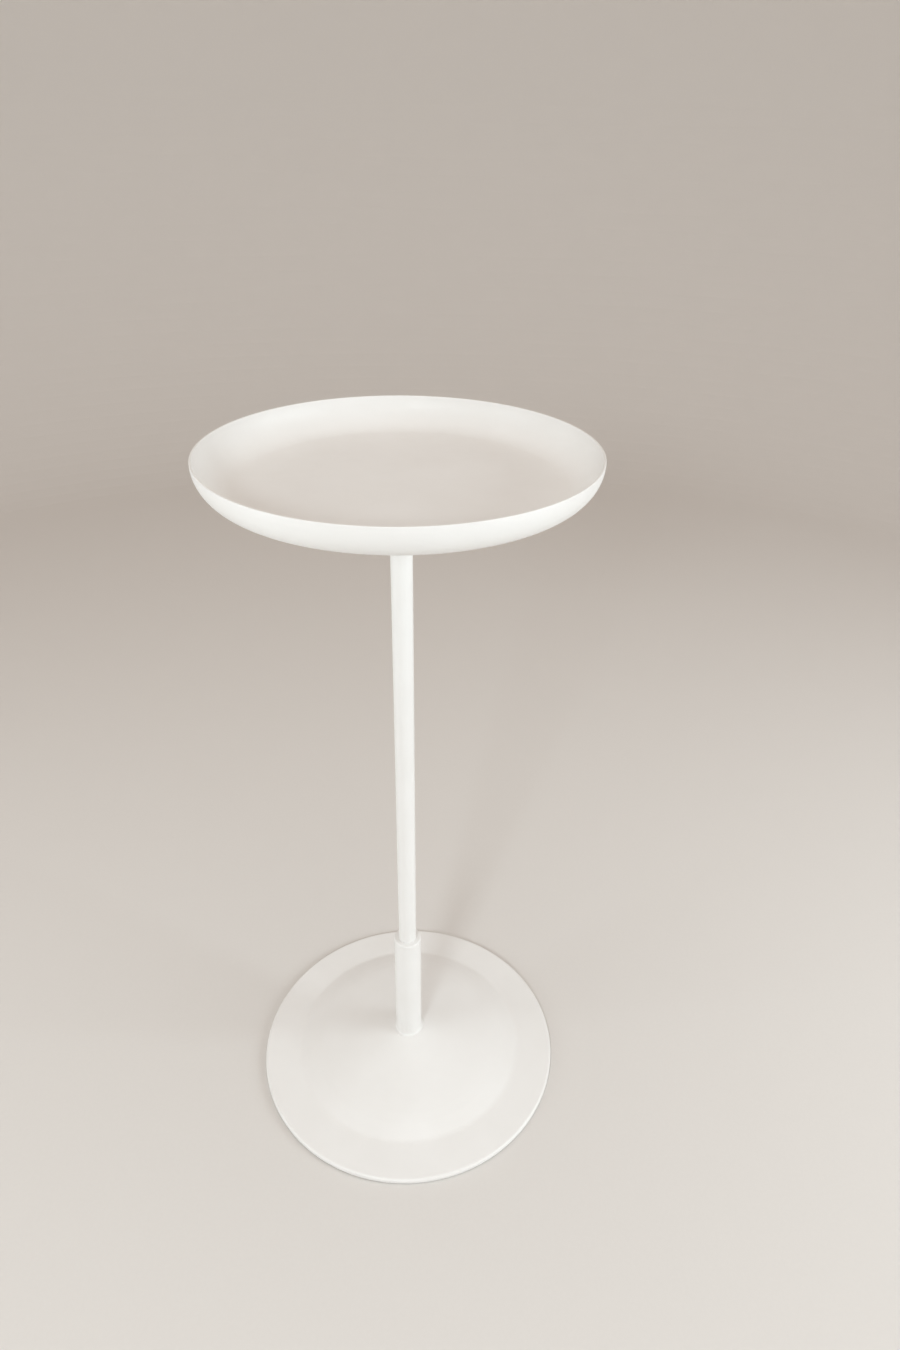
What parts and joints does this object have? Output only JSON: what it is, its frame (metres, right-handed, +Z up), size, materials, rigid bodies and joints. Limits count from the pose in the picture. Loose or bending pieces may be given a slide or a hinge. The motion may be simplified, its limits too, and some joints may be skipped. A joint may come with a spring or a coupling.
{
  "type": "wine table",
  "caption": "Small round wine table: a shallow dish tray with a curved wall on a slim straight stem, socketed in a collar on a weighted, pressed round base.",
  "frame": {"origin": "on the floor, at the middle of the base", "axes": "+Z up the stem; X and Y level, with one floor pad on +X"},
  "size_m": [0.288, 0.288, 0.618],
  "materials": {
    "white_powder_coat": "satin white powder coat with a fine texture",
    "zinc_steel": "bright zinc plate",
    "ballast_iron": "rough cast, black primer",
    "guide_nylon": "natural nylon, moulded",
    "pad_rubber": "matt black sponge rubber"
  },
  "bodies": {
    "root": {"tray": "white_powder_coat", "tray_flange": "white_powder_coat", "flange_boss": "white_powder_coat", "stem_tube": "white_powder_coat", "collar": "white_powder_coat", "collar_cap": "white_powder_coat", "base_shell": "white_powder_coat", "bottom_plate": "white_powder_coat", "tray_stud": "zinc_steel", "stem_top_plug": "zinc_steel", "stem_bottom_plug": "zinc_steel", "base_bolt": "zinc_steel", "flat_washer": "zinc_steel", "spring_washer": "zinc_steel", "ballast": "ballast_iron", "collar_guide": "guide_nylon", "floor_pads": "pad_rubber"}
  },
  "joints": []
}
